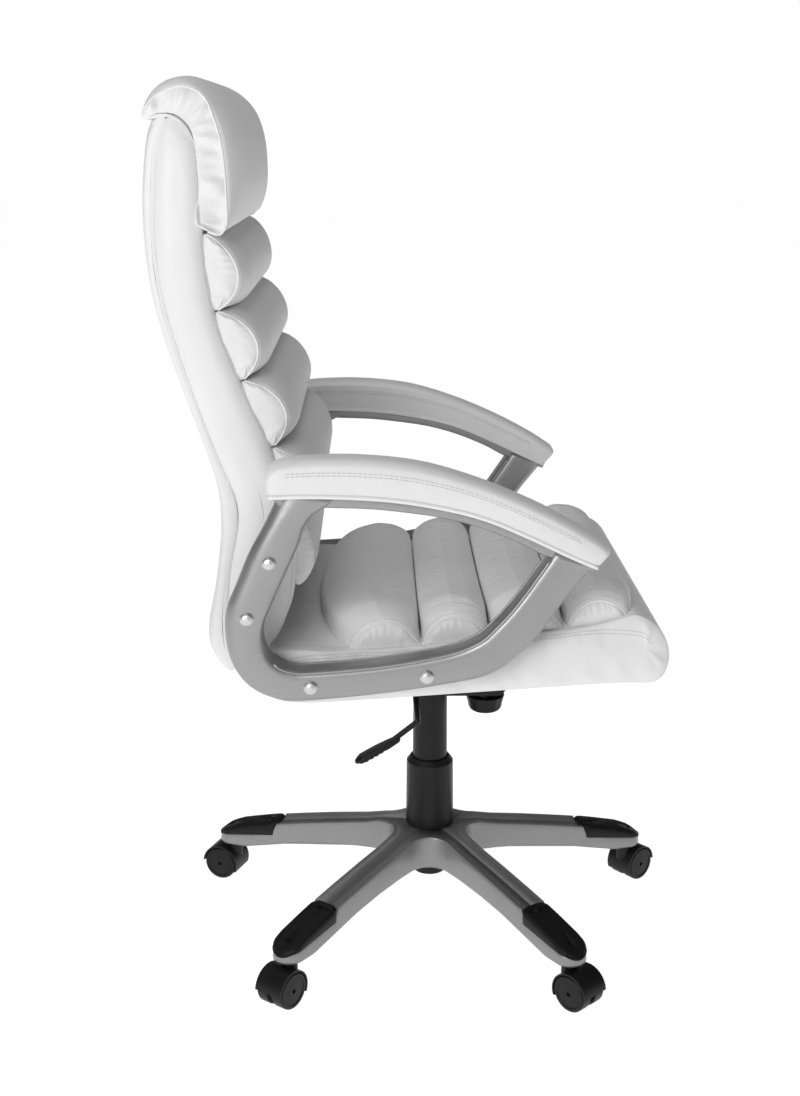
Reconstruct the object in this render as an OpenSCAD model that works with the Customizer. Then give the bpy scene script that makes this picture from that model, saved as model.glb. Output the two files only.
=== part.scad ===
// Swivel office chair with padded rolls, closed-loop arms and a five-star base.
// Origin on the floor under the column, +Z up. The sitter looks along -Y.
// The sitter's right hand is at -X.

/* [Base] */
// Distance of each caster stem from the column
caster_circle_r = 315; // [300:1:330]
// Turn of the star base about the column, in degrees
base_turn = -2; // [-36:1:36]
// Half width of a leg at its round end
leg_end_r = 22; // [20:0.5:24]
// Height of the underside of a leg at its end
leg_under_z = 61; // [60:0.5:64]
// Height of the hub's top face
hub_top_z = 141; // [138:1:144]

/* [Casters] */
// Wheel diameter
wheel_d = 50; // [48:1:50]
// Distance of the axle behind the stem
caster_trail = 17; // [15:1:19]
// Width across the two wheels
caster_w = 45; // [42:1:46]
// Axle diameter
axle_d = 6; // [5:0.5:7]

/* [Column] */
// Outer diameter of the lower sleeve
lower_sleeve_d = 67; // [64:1:70]
// Height of the top of the lower sleeve
lower_sleeve_top_z = 243; // [238:1:248]
// Outer diameter of the upper sleeve
upper_sleeve_d = 50; // [49.5:0.5:51]
// Outer diameter of the gas spring's pressure cylinder
gas_cylinder_d = 28; // [28:1:28]

/* [Mechanism] */
// Height of the underside of the mechanism housing
housing_z = 350; // [348:1:354]
// Outer width of the mechanism housing
housing_w = 90; // [86:1:94]
// Diameter of the tension knob
knob_d = 54; // [50:1:56]

/* [Seat] */
// Height of the cushion's underside above the column
seat_z = 432; // [430:1:436]
// Nose-up pitch of the seat, in degrees
seat_pitch = 3.45; // [3:0.05:4]
// Width of the seat cushion
seat_w = 530; // [520:2:532]
// Pitch of the four seat rolls, front to rear
seat_roll_pitch = 87; // [84:1:90]

/* [Back] */
// Width of the back
back_w = 506; // [490:2:510]

/* [Arms] */
// Distance of an arm's middle plane from the chair's middle
arm_x = 298; // [296:1:302]
// Width of the metal arm loop
arm_frame_w = 40; // [36:1:42]
// Width of the arm pad
arm_pad_w = 60; // [56:1:64]

/* [Hidden] */
$fn = 64;
run_gap = 0.05; // radial clearance of a shaft that turns in its bore
leg_turns = [for (k = [0:4]) base_turn + 72 * k];
caster_turns = [0, -2, 1, 9, 24.5]; // swivel of each caster at rest, from straight outwards

// ---------- helpers ----------

// One stretch of a Catmull-Rom curve from b to c
function stretch(a, b, c, d, t) =
    0.5 * ((2 * b) + (c - a) * t + (2 * a - 5 * b + 4 * c - d) * t * t
    + (3 * b - a - 3 * c + d) * t * t * t);

// Smooth open curve through points p with n steps between neighbours
function smooth(p, n) = concat(
    [for (i = [0:len(p) - 2], j = [0:n - 1])
        stretch(p[max(i - 1, 0)], p[i], p[i + 1], p[min(i + 2, len(p) - 1)], j / n)],
    [p[len(p) - 1]]);

// Points of an arc
function arc(c, r, a0, a1, n) =
    [for (i = [0:n]) c + r * [cos(a0 + (a1 - a0) * i / n), sin(a0 + (a1 - a0) * i / n)]];

// A side view drawn in (Y, Z), made w wide along X and centred on x
module along_x(w, x = 0) {
    translate([x - w / 2, 0, 0]) rotate([90, 0, 90]) linear_extrude(w) children();
}

// A rod along X
module rod_x(d, w, x = 0, y = 0, z = 0) {
    translate([x - w / 2, y, z]) rotate([0, 90, 0]) cylinder(d = d, h = w);
}

// A tube along Z from z0 to z1
module tube(d_out, d_in, z0, z1) {
    translate([0, 0, z0]) difference() {
        cylinder(d = d_out, h = z1 - z0);
        translate([0, 0, -1]) cylinder(d = d_in, h = z1 - z0 + 2);
    }
}

// Frame of the pitched seat: z = 0 is the cushion's underside
module on_seat() {
    translate([0, 0, seat_z]) rotate([-seat_pitch, 0, 0]) children();
}

// ---------- star base ----------

leg_root_r = 30;
cap_start_r = 234;
tube_d = 46;
stem_d = 11;

leg_top = smooth([[leg_root_r, 138], [60, 137], [100, 130], [150, 122], [200, 113],
    [cap_start_r, 106]], 3);
leg_rim = [[cap_start_r, 88], [280, 81], [caster_circle_r + leg_end_r + 1, 74]];
leg_bottom = smooth([[caster_circle_r + leg_end_r + 1, leg_under_z], [290, leg_under_z],
    [240, 72], [200, 81], [150, 88], [100, 92], [leg_root_r, 93]], 3);
cap_top = smooth([[caster_circle_r + leg_end_r + 1, 74.5], [330, 80], [305, 90], [270, 99],
    [cap_start_r, 107.5]], 4);

// Plan of a leg along +X from r0 to its round end
module leg_plan(r0, root_half, end_r) {
    union() {
        polygon([[r0, -root_half], [caster_circle_r, -end_r], [caster_circle_r, end_r],
            [r0, root_half]]);
        translate([caster_circle_r, 0]) circle(r = end_r);
    }
}

// A side view drawn in (R, Z) cut to a leg's plan
module leg_solid(r0, root_half, end_r) {
    intersection() {
        linear_extrude(200) leg_plan(r0, root_half, end_r);
        translate([0, 60, 0]) rotate([90, 0, 0]) linear_extrude(120) children();
    }
}

module star_base() {
    color("silver") difference() {
        union() {
            for (a = leg_turns)
                rotate(a) leg_solid(leg_root_r, 21, leg_end_r)
                    polygon(concat(leg_top, leg_rim, leg_bottom));
            translate([0, 0, 88]) cylinder(r1 = 48, r2 = 44, h = hub_top_z - 88);
            translate([0, 0, 66]) cylinder(d = 62, h = 40);
        }
        translate([0, 0, 60]) cylinder(d = tube_d, h = 100);
        for (a = leg_turns)
            rotate(a) translate([caster_circle_r, 0, leg_under_z - 5]) cylinder(d = stem_d, h = 60);
    }
}

module leg_cap(i) {
    color("#1c1c1e") rotate(leg_turns[i]) difference() {
        leg_solid(cap_start_r + 0.2, leg_end_r - 1.2, leg_end_r - 0.8)
            polygon(concat([for (p = leg_rim) p + [0.2, 0]], cap_top));
        translate([caster_circle_r, 0, 60]) cylinder(d = stem_d + 1, h = 21);
    }
}

stem_low_z = 50;
stem_top_z = 76;
module caster_stems() {
    color("gray") for (a = leg_turns) rotate(a) translate([caster_circle_r, 0, stem_low_z])
        cylinder(d = stem_d, h = stem_top_z - stem_low_z);
}

// ---------- column ----------

tube_low_z = 64;
tube_top_z = 256;
rod_d = 10;

module gas_outer_tube() {
    color("#202022") difference() {
        translate([0, 0, tube_low_z]) cylinder(d = tube_d, h = tube_top_z - tube_low_z);
        translate([0, 0, tube_low_z + 5]) cylinder(d = tube_d - 4, h = 300);
        translate([0, 0, tube_low_z - 1]) cylinder(d = rod_d + 1, h = 20);
    }
}

module guide_bush() {
    color("white") tube(tube_d - 4, gas_cylinder_d + 2 * run_gap, 212, tube_top_z);
}

module thrust_bearing() {
    bearing_z = tube_low_z + 5;
    color("gray") {
        tube(30, rod_d + 1, bearing_z, bearing_z + 2.5);
        for (a = [0:45:315])
            rotate(a) translate([10.5, 0, bearing_z + 5]) sphere(d = 5.6);
        tube(30, rod_d + 1, bearing_z + 7.5, bearing_z + 10);
    }
}

sleeve_wall = 3;
collar_h = 8;
module lower_sleeve() {
    top = lower_sleeve_top_z - hub_top_z;
    color("#1c1c1e") translate([0, 0, hub_top_z]) rotate_extrude() polygon([
        [lower_sleeve_d / 2 - sleeve_wall - 1, 0],
        [lower_sleeve_d / 2 + 1, 0],
        [lower_sleeve_d / 2, top - collar_h],
        [lower_sleeve_d / 2, top - collar_h + 1],
        [upper_sleeve_d / 2 + 3.2, top],
        [upper_sleeve_d / 2 + 1, top],
        [upper_sleeve_d / 2 + 1, top - 4],
        [lower_sleeve_d / 2 - sleeve_wall, top - collar_h]]);
}

module piston_rod() {
    color("silver") {
        translate([0, 0, 58]) cylinder(d = rod_d, h = 186);
        translate([0, 0, 244]) cylinder(d = 24.9, h = 12);
        translate([0, 0, 59.5]) cylinder(d = 20, h = 2.5);
        translate([0, 0, tube_low_z + 15.2]) cylinder(d = 16, h = 2);
    }
}

cylinder_low_z = 142;
module gas_cylinder() {
    color("silver") difference() {
        union() {
            translate([0, 0, cylinder_low_z])
                cylinder(d = gas_cylinder_d, h = 316 - cylinder_low_z);
            translate([0, 0, 316]) cylinder(d1 = gas_cylinder_d, d2 = 26, h = 36);
        }
        translate([0, 0, cylinder_low_z + 6]) cylinder(d = 25, h = 326 - cylinder_low_z - 6);
        translate([0, 0, cylinder_low_z - 1]) cylinder(d = rod_d + 2 * run_gap, h = 20);
        translate([0, 0, 320]) cylinder(d = 8 + 2 * run_gap, h = 60);
    }
}

module upper_sleeve() {
    color("#1c1c1e") translate([0, 0, 200]) rotate_extrude() polygon([
        [23.6, 0],
        [upper_sleeve_d / 2, 0],
        [upper_sleeve_d / 2 - 1, housing_z - 200.5],
        [22, housing_z - 200.5],
        [22, housing_z - 203],
        [23.4, housing_z - 206]]);
}

button_top_z = 358;
module valve_button() {
    color("#303030") translate([0, 0, 334]) cylinder(d = 8, h = button_top_z - 334);
}

// ---------- tilt mechanism ----------

wall = 3;
pivot_y = -30;
pivot_z = 398;
tilt_axle_d = 12;
knob_y = -79;
lever_y = 23;
lever_z = 362;
lever_d = 8;
ear_x = housing_w / 2 + 3;
housing_front = -108;
housing_rear = 70;
housing_side = [[housing_front, housing_z + 14], [housing_front + 9, housing_z],
    [housing_rear - 4, housing_z],
    [housing_rear, housing_z + 4], [housing_rear, 394], [pivot_y + 8, 418], [pivot_y - 8, 419],
    [housing_front + 4, 404], [housing_front, 400]];

module mechanism_housing() {
    color("#262628") difference() {
        union() {
            difference() {
                along_x(housing_w) polygon(housing_side);
                translate([-housing_w / 2 + wall, housing_front + wall, housing_z + wall])
                    cube([housing_w - 2 * wall, housing_rear - housing_front - 2 * wall, 100]);
            }
            translate([0, 0, 316]) cylinder(d = 38, h = 37);
            for (s = [-1, 1]) rod_x(22, 10, s * (housing_w / 2 - 6), pivot_y, pivot_z);
            rod_x(16, 6, -housing_w / 2 + 3, lever_y, lever_z);
        }
        translate([0, 0, 315.9]) cylinder(d1 = gas_cylinder_d, d2 = 26, h = 36.1);
        translate([0, 0, 340]) cylinder(d = 25, h = 20);
        rod_x(tilt_axle_d, housing_w + 20, 0, pivot_y, pivot_z);
        rod_x(12 + 2 * run_gap, 30, -housing_w / 2, lever_y, lever_z);
        translate([0, knob_y, housing_z - 1]) cylinder(d = 14, h = 10);
    }
}

module tilt_axle() {
    color("silver") {
        rod_x(tilt_axle_d, 2 * ear_x + 14, 0, pivot_y, pivot_z);
        rod_x(20, 3, ear_x + 8.5, pivot_y, pivot_z);
        rod_x(20, 3, -ear_x - 8.5, pivot_y, pivot_z);
    }
}

// Helical spring of round wire, standing on z = 0
module coil(mean_d, wire_d, height, turns, sides = 8, steps = 14) {
    rings = turns * steps;
    rise = height - wire_d;
    function ring(i) = let (a = 360 * i / steps, z = wire_d / 2 + rise * i / rings)
        [for (j = [0:sides - 1]) let (b = 360 * j / sides)
            [(mean_d / 2 + wire_d / 2 * cos(b)) * cos(a),
             (mean_d / 2 + wire_d / 2 * cos(b)) * sin(a), z + wire_d / 2 * sin(b)]];
    points = [for (i = [0:rings]) each ring(i)];
    walls = [for (i = [0:rings - 1], j = [0:sides - 1])
        [i * sides + j, i * sides + (j + 1) % sides,
         (i + 1) * sides + (j + 1) % sides, (i + 1) * sides + j]];
    polyhedron(points, concat([[for (j = [sides - 1:-1:0]) j]], walls,
        [[for (j = [0:sides - 1]) rings * sides + j]]));
}

knob_low_z = 311;
knob_floor_z = 317;
knob_top_z = 336;
spring_low_z = knob_floor_z + 2.5;
module tilt_spring() {
    color("silver") translate([0, knob_y, spring_low_z + 0.3])
        coil(31, 4.5, housing_z - spring_low_z - 0.6, 4);
}

module tension_bolt() {
    color("gray") {
        translate([0, knob_y, knob_floor_z + 0.3]) cylinder(d = 10, h = 398 - knob_floor_z);
        translate([0, knob_y, knob_floor_z + 0.3]) cylinder(d = 40, h = 2);
        difference() {
            translate([-5, knob_y - 11, 392]) cube([10, 22, 22]);
            hull() for (y = [-4.2, 1]) rod_x(8.6, 12, 0, knob_y + y + 2, 404);
        }
    }
}

module tension_knob() {
    color("#1c1c1e") translate([0, knob_y, 0]) difference() {
        union() {
            translate([0, 0, knob_low_z + 5]) cylinder(d = knob_d, h = knob_top_z - knob_low_z - 5);
            translate([0, 0, knob_low_z]) cylinder(d1 = knob_d - 14, d2 = knob_d, h = 5);
            for (a = [0:30:330]) rotate(a) translate([knob_d / 2 - 1, 0, knob_low_z + 5])
                cylinder(d = 4, h = knob_top_z - knob_low_z - 5);
        }
        translate([0, 0, knob_floor_z]) cylinder(d = knob_d - 8, h = 60);
    }
}

// Bush with the lock blade: the lever slides it out and in
module lock_slider() {
    color("gray") difference() {
        union() {
            rod_x(12, 50, -housing_w / 2 + 11, lever_y, lever_z);
            translate([-26, lever_y + 5, lever_z - 4]) cube([16, 22, 8]);
        }
        rod_x(lever_d + 2 * run_gap, 90, -housing_w / 2, lever_y, lever_z);
    }
}

lever_bend = [-172, lever_y, lever_z];
lever_root = [-180, 46, 343];
lever_tip = [-190, 106, 312];
rod_end = lever_root + 0.3 * (lever_tip - lever_root);
rod_end_d = lever_d - 0.5;

// A straight round rod between two points
module rod_between(a, b, d) {
    v = b - a;
    translate(a) rotate([0, acos(v[2] / norm(v)), atan2(v[1], v[0])])
        cylinder(d = d, h = norm(v));
}

module lever_rod() {
    color("#262628") {
        rod_between([-6, lever_y, lever_z], lever_bend, lever_d);
        translate(lever_bend) sphere(d = lever_d);
        rod_between(lever_bend, rod_end, rod_end_d);
        translate([-6, -6, lever_z - 3]) cube([24, lever_y + 6, 8]);
    }
}

grip_w = 20;
module lever_grip() {
    v = lever_tip - lever_root;
    color("#161617") difference() {
        translate(lever_root) rotate([0, 0, atan2(v[1], v[0])])
            rotate([0, atan2(-v[2], norm([v[0], v[1]])), 0])
            union() {
                translate([0, -grip_w / 2 + 3, -5]) cube([norm(v) - grip_w / 2, grip_w - 6, 10]);
                translate([8, -grip_w / 2, -5]) cube([norm(v) - grip_w / 2 - 8, grip_w, 10]);
                translate([norm(v) - grip_w / 2, 0, -5]) cylinder(d = grip_w, h = 10);
            }
        rod_between(lever_bend, rod_end, rod_end_d);
    }
}

// ---------- seat ----------

plate_t = 3;
board_t = 12;
seat_rear = 196;

module seat_plate() {
    pin_z = 404;
    color("#303032") difference() {
        union() {
            on_seat() translate([-95, -118, -plate_t]) cube([190, 210, plate_t]);
            for (s = [-1, 1]) {
                along_x(3, s * (ear_x + 2)) polygon([[pivot_y - 16, 425], [pivot_y + 16, 425],
                    [pivot_y + 12, pivot_z - 10], [pivot_y - 12, pivot_z - 10]]);
                along_x(3, s * 10) polygon([[knob_y - 10, 430], [knob_y + 10, 430],
                    [knob_y + 7, pin_z - 7], [knob_y - 7, pin_z - 7]]);
            }
            rod_x(8, 26, 0, knob_y, pin_z);
        }
        rod_x(tilt_axle_d + 2 * run_gap, 200, 0, pivot_y, pivot_z);
    }
}

plate_holes = [for (x = [-78, 78], y = [-100, 74]) [x, y]];
module seat_plate_bolts() {
    color("gray") on_seat() for (p = plate_holes) translate([p[0], p[1], 0]) {
        translate([0, 0, -plate_t - 5]) cylinder(d = 13, h = 5, $fn = 6);
    }
}

rail_h = 50;
rail_t = 14;
rail_y = -10;
board_len = 438;
rail_x = seat_w / 2 - 12 - rail_t / 2;
module seat_board() {
    color("burlywood") difference() {
        on_seat() {
            translate([-seat_w / 2 + 12, -270, 2]) cube([seat_w - 24, board_len, board_t]);
            for (s = [-1, 1])
                translate([s * rail_x - rail_t / 2, rail_y, 2])
                    cube([rail_t, board_len - 270 - rail_y, rail_h]);
        }
        for (p = seat_bolt_places) rod_x(bolt_d, 2 * seat_w, 0, p[0], p[1]);
    }
}

module dust_cover() {
    color("#151515") on_seat()
        translate([-seat_w / 2 + 20, -262, 0]) cube([seat_w - 40, 404, 1.8]);
}

cushion_side = concat(
    smooth([[seat_rear - 10, 4], [150, 0], [60, 0], [-120, 2], [-215, 5], [-262, 4]], 2),
    smooth([[-270, 0], [-288, 3], [-297, 20], [-294, 42], [-284, 64], [-266, 84]], 3),
    [[-240, 72.5], [-155, 66], [-62, 60], [23, 56], [110, 56], [seat_rear - 8, 62],
     [seat_rear, 54], [seat_rear, 20]]);

module seat_cushion() {
    color("white") difference() {
        on_seat() difference() {
            along_x(seat_w) polygon(cushion_side);
            translate([-seat_w / 2 + 11.5, -270.5, -10]) cube([seat_w - 23, board_len + 1, 24.5]);
            for (s = [-1, 1])
                translate([s * rail_x - rail_t / 2 - 0.5, rail_y - 0.5, 2])
                    cube([rail_t + 1, board_len - 269 - rail_y, rail_h + 0.5]);
        }
        for (s = [-1, 1], p = seat_bolt_places)
            rod_x(boss_d + 1, 44, s * (seat_w / 2 + 9), p[0], p[1]);
    }
}

roll_seam_z = [56, 57, 61, 66, 72];
module seat_rolls() {
    roll_w = seat_w - 30;
    color("white") on_seat() {
        for (i = [0:3]) {
            y = 110 - seat_roll_pitch * (i + 0.5);
            z = (roll_seam_z[i] + roll_seam_z[i + 1]) / 2;
            difference() {
                rod_x(seat_roll_pitch + 2, roll_w, 0, y, z + 2);
                translate([-300, y - 60, z - 100]) cube([600, 120, 104]);
            }
        }
        along_x(roll_w) polygon(concat(
            smooth([[-240, 104], [-252, 103], [-264, 96], [-272, 86]], 3), [[-240, 80]]));
    }
}

// ---------- back ----------

// Where the back rolls meet, bottom to top
roll_edge = [[178, 569], [176, 656], [203, 745], [238, 826], [267, 909], [278, 1000]];
// Seam between the side panel and the rolls, bottom to top
front_seam = smooth(concat([[216, 486], [200, 506], [187, 537]], roll_edge,
    [[279, 1075], [286, 1116], [303, 1133], [318, 1130]]), 3);
// Seam between the side panel and the rear shell, top to bottom
rear_seam = smooth([[327, 1100], [333, 1020], [330, 940], [308, 850], [273, 745],
    [248, 681], [247, 645], [258, 590], [262, 520], [252, 462]], 3);
// Outline of the rear shell, bottom to top
rear_line = smooth([[268, 456], [288, 480], [291, 510], [279, 570], [271, 640], [275, 700],
    [296, 770], [320, 840], [342, 920], [350, 990], [350, 1050], [341, 1118], [327, 1140]], 3);

bolt_d = 8;
back_bolt_places = [[204, 620], [232, 551]];
seat_bolt_places = [[157, 464], [16, 477]];
boss_d = 22;
back_rail_x = back_w / 2 - 6;

module back_shell() {
    color("whitesmoke") {
        along_x(back_w - 16) polygon(concat(
            [for (i = [len(rear_seam) - 1:-1:0]) rear_seam[i] + [0.3, 0]],
            [rear_line[len(rear_line) - 1]],
            [for (i = [len(rear_line) - 2:-1:0]) rear_line[i]]));
        for (s = [-1, 1]) along_x(12, s * (back_rail_x - 6)) difference() {
            polygon([[190, 636], [262, 655], [266, 530], [220, 530]]);
            for (p = back_bolt_places) translate(p) circle(d = bolt_d);
        }
    }
}

module back_cushion() {
    color("white") difference() {
        along_x(back_w) polygon(concat(front_seam, [[322, 1124]], rear_seam, [[236, 466]]));
        for (s = [-1, 1]) along_x(13, s * (back_rail_x - 6)) polygon([[188, 638], [290, 663],
            [290, 528], [218, 528]]);
        for (s = [-1, 1], p = back_bolt_places)
            rod_x(boss_d + 1, 30, s * back_w / 2, p[0], p[1]);
    }
}

module back_rolls() {
    color("white") for (i = [0:len(roll_edge) - 2]) {
        low = roll_edge[i];
        high = roll_edge[i + 1];
        v = high - low;
        n = [-v[1], v[0]] / norm(v);
        mid = (low + high) / 2 + 4 * [n[0], n[1]];
        difference() {
            rod_x(norm(v) + 3, back_w - 30, 0, mid[0], mid[1]);
            along_x(back_w) polygon([low + 3 * n - v, high + 3 * n + v, high + v - 90 * n,
                low - v - 90 * n]);
        }
    }
}

module headrest() {
    color("white") along_x(back_w - 8) polygon(concat(
        smooth([[274, 1010], [240, 1008], [222, 1030], [216, 1075], [222, 1118], [240, 1150],
            [268, 1172], [298, 1181], [326, 1172], [342, 1154]], 3),
        [[330, 1148], [318, 1137], [302, 1141], [280, 1124], [272, 1078]]));
}

// ---------- arms ----------

// Outer edge of the loop, from the pad's rear end down and round to its front tip
arm_outer = smooth([[204, 699], [211, 662], [229, 629], [245, 591], [257, 562], [260, 537],
    [257, 506], [247, 480], [230, 460], [205, 447], [173, 442], [75, 451], [-12, 464],
    [-60, 475], [-95, 499], [-123, 530], [-152, 572], [-176, 604], [-186, 608]], 3);
// Underside of the pad, front to rear
pad_under = smooth([[-186, 614], [-148, 631], [-100, 654], [-50, 675], [0, 688], [55, 697],
    [110, 701], [165, 702], [206, 700]], 3);
// The D-shaped gap
arm_gap = concat(
    smooth([[158, 672], [167, 644], [185, 603], [200, 570], [211, 542], [214, 522], [209, 504],
        [198, 492], [180, 485], [150, 483], [74, 490], [15, 499], [-35, 513], [-62, 532],
        [-93, 570], [-115, 602], [-130, 622]], 3),
    smooth([[-120, 628], [-93, 642], [-49, 660], [-6, 672], [38, 679], [85, 683], [142, 684]], 3));
pad_top = smooth([[207, 704], [208, 722], [203, 734], [190, 741], [165, 745], [100, 746],
    [25, 738], [-46, 717], [-110, 690], [-160, 664], [-190, 645], [-204, 634]], 3);

frame_face = arm_x + arm_frame_w / 2;
frame_back = arm_x - arm_frame_w / 2;

module arm_frame(side) {
    color("silver") scale([side, 1, 1]) difference() {
        union() {
            difference() {
                along_x(arm_frame_w, arm_x) polygon(concat(arm_outer, pad_under));
                along_x(arm_frame_w + 2, arm_x) polygon(arm_gap);
            }
            for (p = seat_bolt_places)
                rod_x(boss_d, frame_back - boss_in_seat, (frame_back + boss_in_seat) / 2,
                    p[0], p[1]);
            for (p = back_bolt_places)
                rod_x(boss_d, frame_back - boss_in_back, (frame_back + boss_in_back) / 2,
                    p[0], p[1]);
        }
        for (p = concat(seat_bolt_places, back_bolt_places))
            rod_x(bolt_d + 0.4, 200, frame_face, p[0], p[1]);
    }
}

boss_in_seat = seat_w / 2 - 11.9;
boss_in_back = back_rail_x;

module arm_pad(side) {
    color("white") scale([side, 1, 1]) along_x(arm_pad_w, arm_x)
        polygon(concat([for (p = pad_under) p + [0, 0.2]], pad_top, [[-186, 614.2]]));
}

bolt_head_d = 17;
bolt_len = 77.5;
module arm_bolts() {
    color("silver") for (s = [-1, 1], p = concat(seat_bolt_places, back_bolt_places))
        translate([s * frame_face, p[0], p[1]]) rotate([0, s * 90, 0]) {
            translate([0, 0, -bolt_len]) cylinder(d = bolt_d, h = bolt_len);
            cylinder(d = bolt_head_d, h = 1.4);
            translate([0, 0, 1.4]) cylinder(d1 = bolt_head_d, d2 = 12.5, h = 2);
            translate([0, 0, 3.4]) cylinder(d1 = 12.5, d2 = 5, h = 1.1);
        }
}

// ---------- casters ----------

axle_z = wheel_d / 2;
hood_in_r = wheel_d / 2 + 0.8;
hood_out_r = wheel_d / 2 + 3.2;
hood_rear_z = axle_z + 2;
hood_front_z = 14;
socket_d = 22;
web_t = 7;
web_d = 42;
cut = 100; // size of a block that only cuts
wheel_w = (caster_w - web_t) / 2 - 1.2;

// Caster frame: stem on the Z axis, axle behind it at +X
module at_caster(i) {
    rotate(leg_turns[i]) translate([caster_circle_r, 0, 0]) rotate(caster_turns[i]) children();
}

// A round piece on the axle's line, from y0 to y0 + w
module on_axle(d, y0, w) {
    translate([caster_trail, y0 + w, axle_z]) rotate([90, 0, 0]) cylinder(d = d, h = w);
}

module caster_hood(i) {
    color("#1b1b1d") at_caster(i) difference() {
        union() {
            difference() {
                union() {
                    on_axle(2 * hood_out_r, -caster_w / 2 + 1, caster_w - 2);
                    translate([0, 0, 34]) cylinder(d = socket_d, h = leg_under_z - 35);
                }
                on_axle(2 * hood_in_r, -caster_w, caster_w - web_t / 2);
                on_axle(2 * hood_in_r, web_t / 2, caster_w);
                translate([caster_trail, -cut / 2, hood_rear_z - cut]) cube(cut);
                translate([caster_trail - cut + 1, -cut / 2, hood_front_z - cut]) cube(cut);
            }
            on_axle(web_d, -web_t / 2, web_t);
        }
        translate([0, 0, stem_low_z - 1]) cylinder(d = stem_d + 2 * run_gap, h = 60);
        on_axle(axle_d, -50, 100);
    }
}

module caster_axle(i) {
    color("gray") at_caster(i) on_axle(axle_d, -caster_w / 2 + 4, caster_w - 8);
}

module wheel(i, side) {
    tyre_r = wheel_d / 2;
    color("#121213") at_caster(i) translate([caster_trail, 0, axle_z])
        rotate([90, 0, 0]) scale([1, 1, side]) translate([0, 0, web_t / 2 + 0.6])
        rotate_extrude() polygon(concat(
            [[axle_d / 2 + run_gap, 0], [tyre_r - 1.5, 0], [tyre_r, 1.5]],
            arc([tyre_r - 3, wheel_w - 3], 3, 0, 90, 4),
            [[tyre_r - 5, wheel_w], [tyre_r - 6, wheel_w - 1], [6, wheel_w - 0.4],
             [axle_d / 2 + run_gap, wheel_w - 0.4]]));
}

star_base();
leg_cap(0);  // leg_cap_1
leg_cap(1);  // leg_cap_2
leg_cap(2);  // leg_cap_3
leg_cap(3);  // leg_cap_4
leg_cap(4);  // leg_cap_5
caster_stems();
gas_outer_tube();
guide_bush();
lower_sleeve();
thrust_bearing();
piston_rod();
gas_cylinder();
upper_sleeve();
valve_button();
mechanism_housing();
tilt_axle();
tilt_spring();
tension_bolt();
tension_knob();
lock_slider();
lever_rod();
lever_grip();
seat_plate();
seat_plate_bolts();
seat_board();
dust_cover();
seat_cushion();
seat_rolls();
back_shell();
back_cushion();
back_rolls();
headrest();
arm_frame(-1);  // arm_frame_right
arm_frame(1);  // arm_frame_left
arm_pad(-1);  // arm_pad_right
arm_pad(1);  // arm_pad_left
arm_bolts();
caster_hood(0);  // caster_hood_1
caster_hood(1);  // caster_hood_2
caster_hood(2);  // caster_hood_3
caster_hood(3);  // caster_hood_4
caster_hood(4);  // caster_hood_5
caster_axle(0);  // caster_axle_1
caster_axle(1);  // caster_axle_2
caster_axle(2);  // caster_axle_3
caster_axle(3);  // caster_axle_4
caster_axle(4);  // caster_axle_5
wheel(0, 1);  // wheel_1_a
wheel(0, -1);  // wheel_1_b
wheel(1, 1);  // wheel_2_a
wheel(1, -1);  // wheel_2_b
wheel(2, 1);  // wheel_3_a
wheel(2, -1);  // wheel_3_b
wheel(3, 1);  // wheel_4_a
wheel(3, -1);  // wheel_4_b
wheel(4, 1);  // wheel_5_a
wheel(4, -1);  // wheel_5_b
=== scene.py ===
import math

import bpy
from mathutils import Matrix, Vector, noise
from mathutils.bvhtree import BVHTree


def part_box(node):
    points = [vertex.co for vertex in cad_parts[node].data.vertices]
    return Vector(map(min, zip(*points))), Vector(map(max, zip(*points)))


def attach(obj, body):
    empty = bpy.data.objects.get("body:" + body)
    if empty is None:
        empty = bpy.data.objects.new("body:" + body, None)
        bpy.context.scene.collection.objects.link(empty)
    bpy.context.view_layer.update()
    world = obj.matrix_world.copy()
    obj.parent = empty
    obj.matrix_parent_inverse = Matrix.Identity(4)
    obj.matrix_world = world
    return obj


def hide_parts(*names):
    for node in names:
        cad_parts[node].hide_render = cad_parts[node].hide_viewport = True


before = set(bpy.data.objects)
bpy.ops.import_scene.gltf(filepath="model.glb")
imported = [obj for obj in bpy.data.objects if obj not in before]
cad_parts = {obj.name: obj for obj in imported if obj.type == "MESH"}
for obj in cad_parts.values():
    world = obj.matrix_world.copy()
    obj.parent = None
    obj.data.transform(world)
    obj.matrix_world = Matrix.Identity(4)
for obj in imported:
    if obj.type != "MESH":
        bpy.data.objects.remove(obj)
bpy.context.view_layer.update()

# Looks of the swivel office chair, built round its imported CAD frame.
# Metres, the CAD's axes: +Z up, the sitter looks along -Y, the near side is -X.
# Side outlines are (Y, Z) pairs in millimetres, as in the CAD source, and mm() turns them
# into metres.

# ---------- helpers: curves ----------


def mm(points):
    return [Vector(p) / 1000 for p in points]


def smooth(points, steps):
    """Catmull-Rom curve through the points."""
    out = []
    for i in range(len(points) - 1):
        a, b = points[max(i - 1, 0)], points[i]
        c, d = points[i + 1], points[min(i + 2, len(points) - 1)]
        for k in range(steps):
            t = k / steps
            out.append(0.5 * (2 * b + (c - a) * t + (2 * a - 5 * b + 4 * c - d) * t**2
                              + (3 * b - a - 3 * c + d) * t**3))
    out.append(points[-1].copy())
    return out


def even(points, count):
    """The same path as count evenly spaced points."""
    length = [0.0]
    for a, b in zip(points, points[1:]):
        length.append(length[-1] + (b - a).length)
    out, k = [], 0
    for i in range(count):
        target = length[-1] * i / (count - 1)
        while k < len(points) - 2 and length[k + 1] < target:
            k += 1
        span = max(length[k + 1] - length[k], 1e-9)
        out.append(points[k].lerp(points[k + 1], min((target - length[k]) / span, 1)))
    return out


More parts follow.
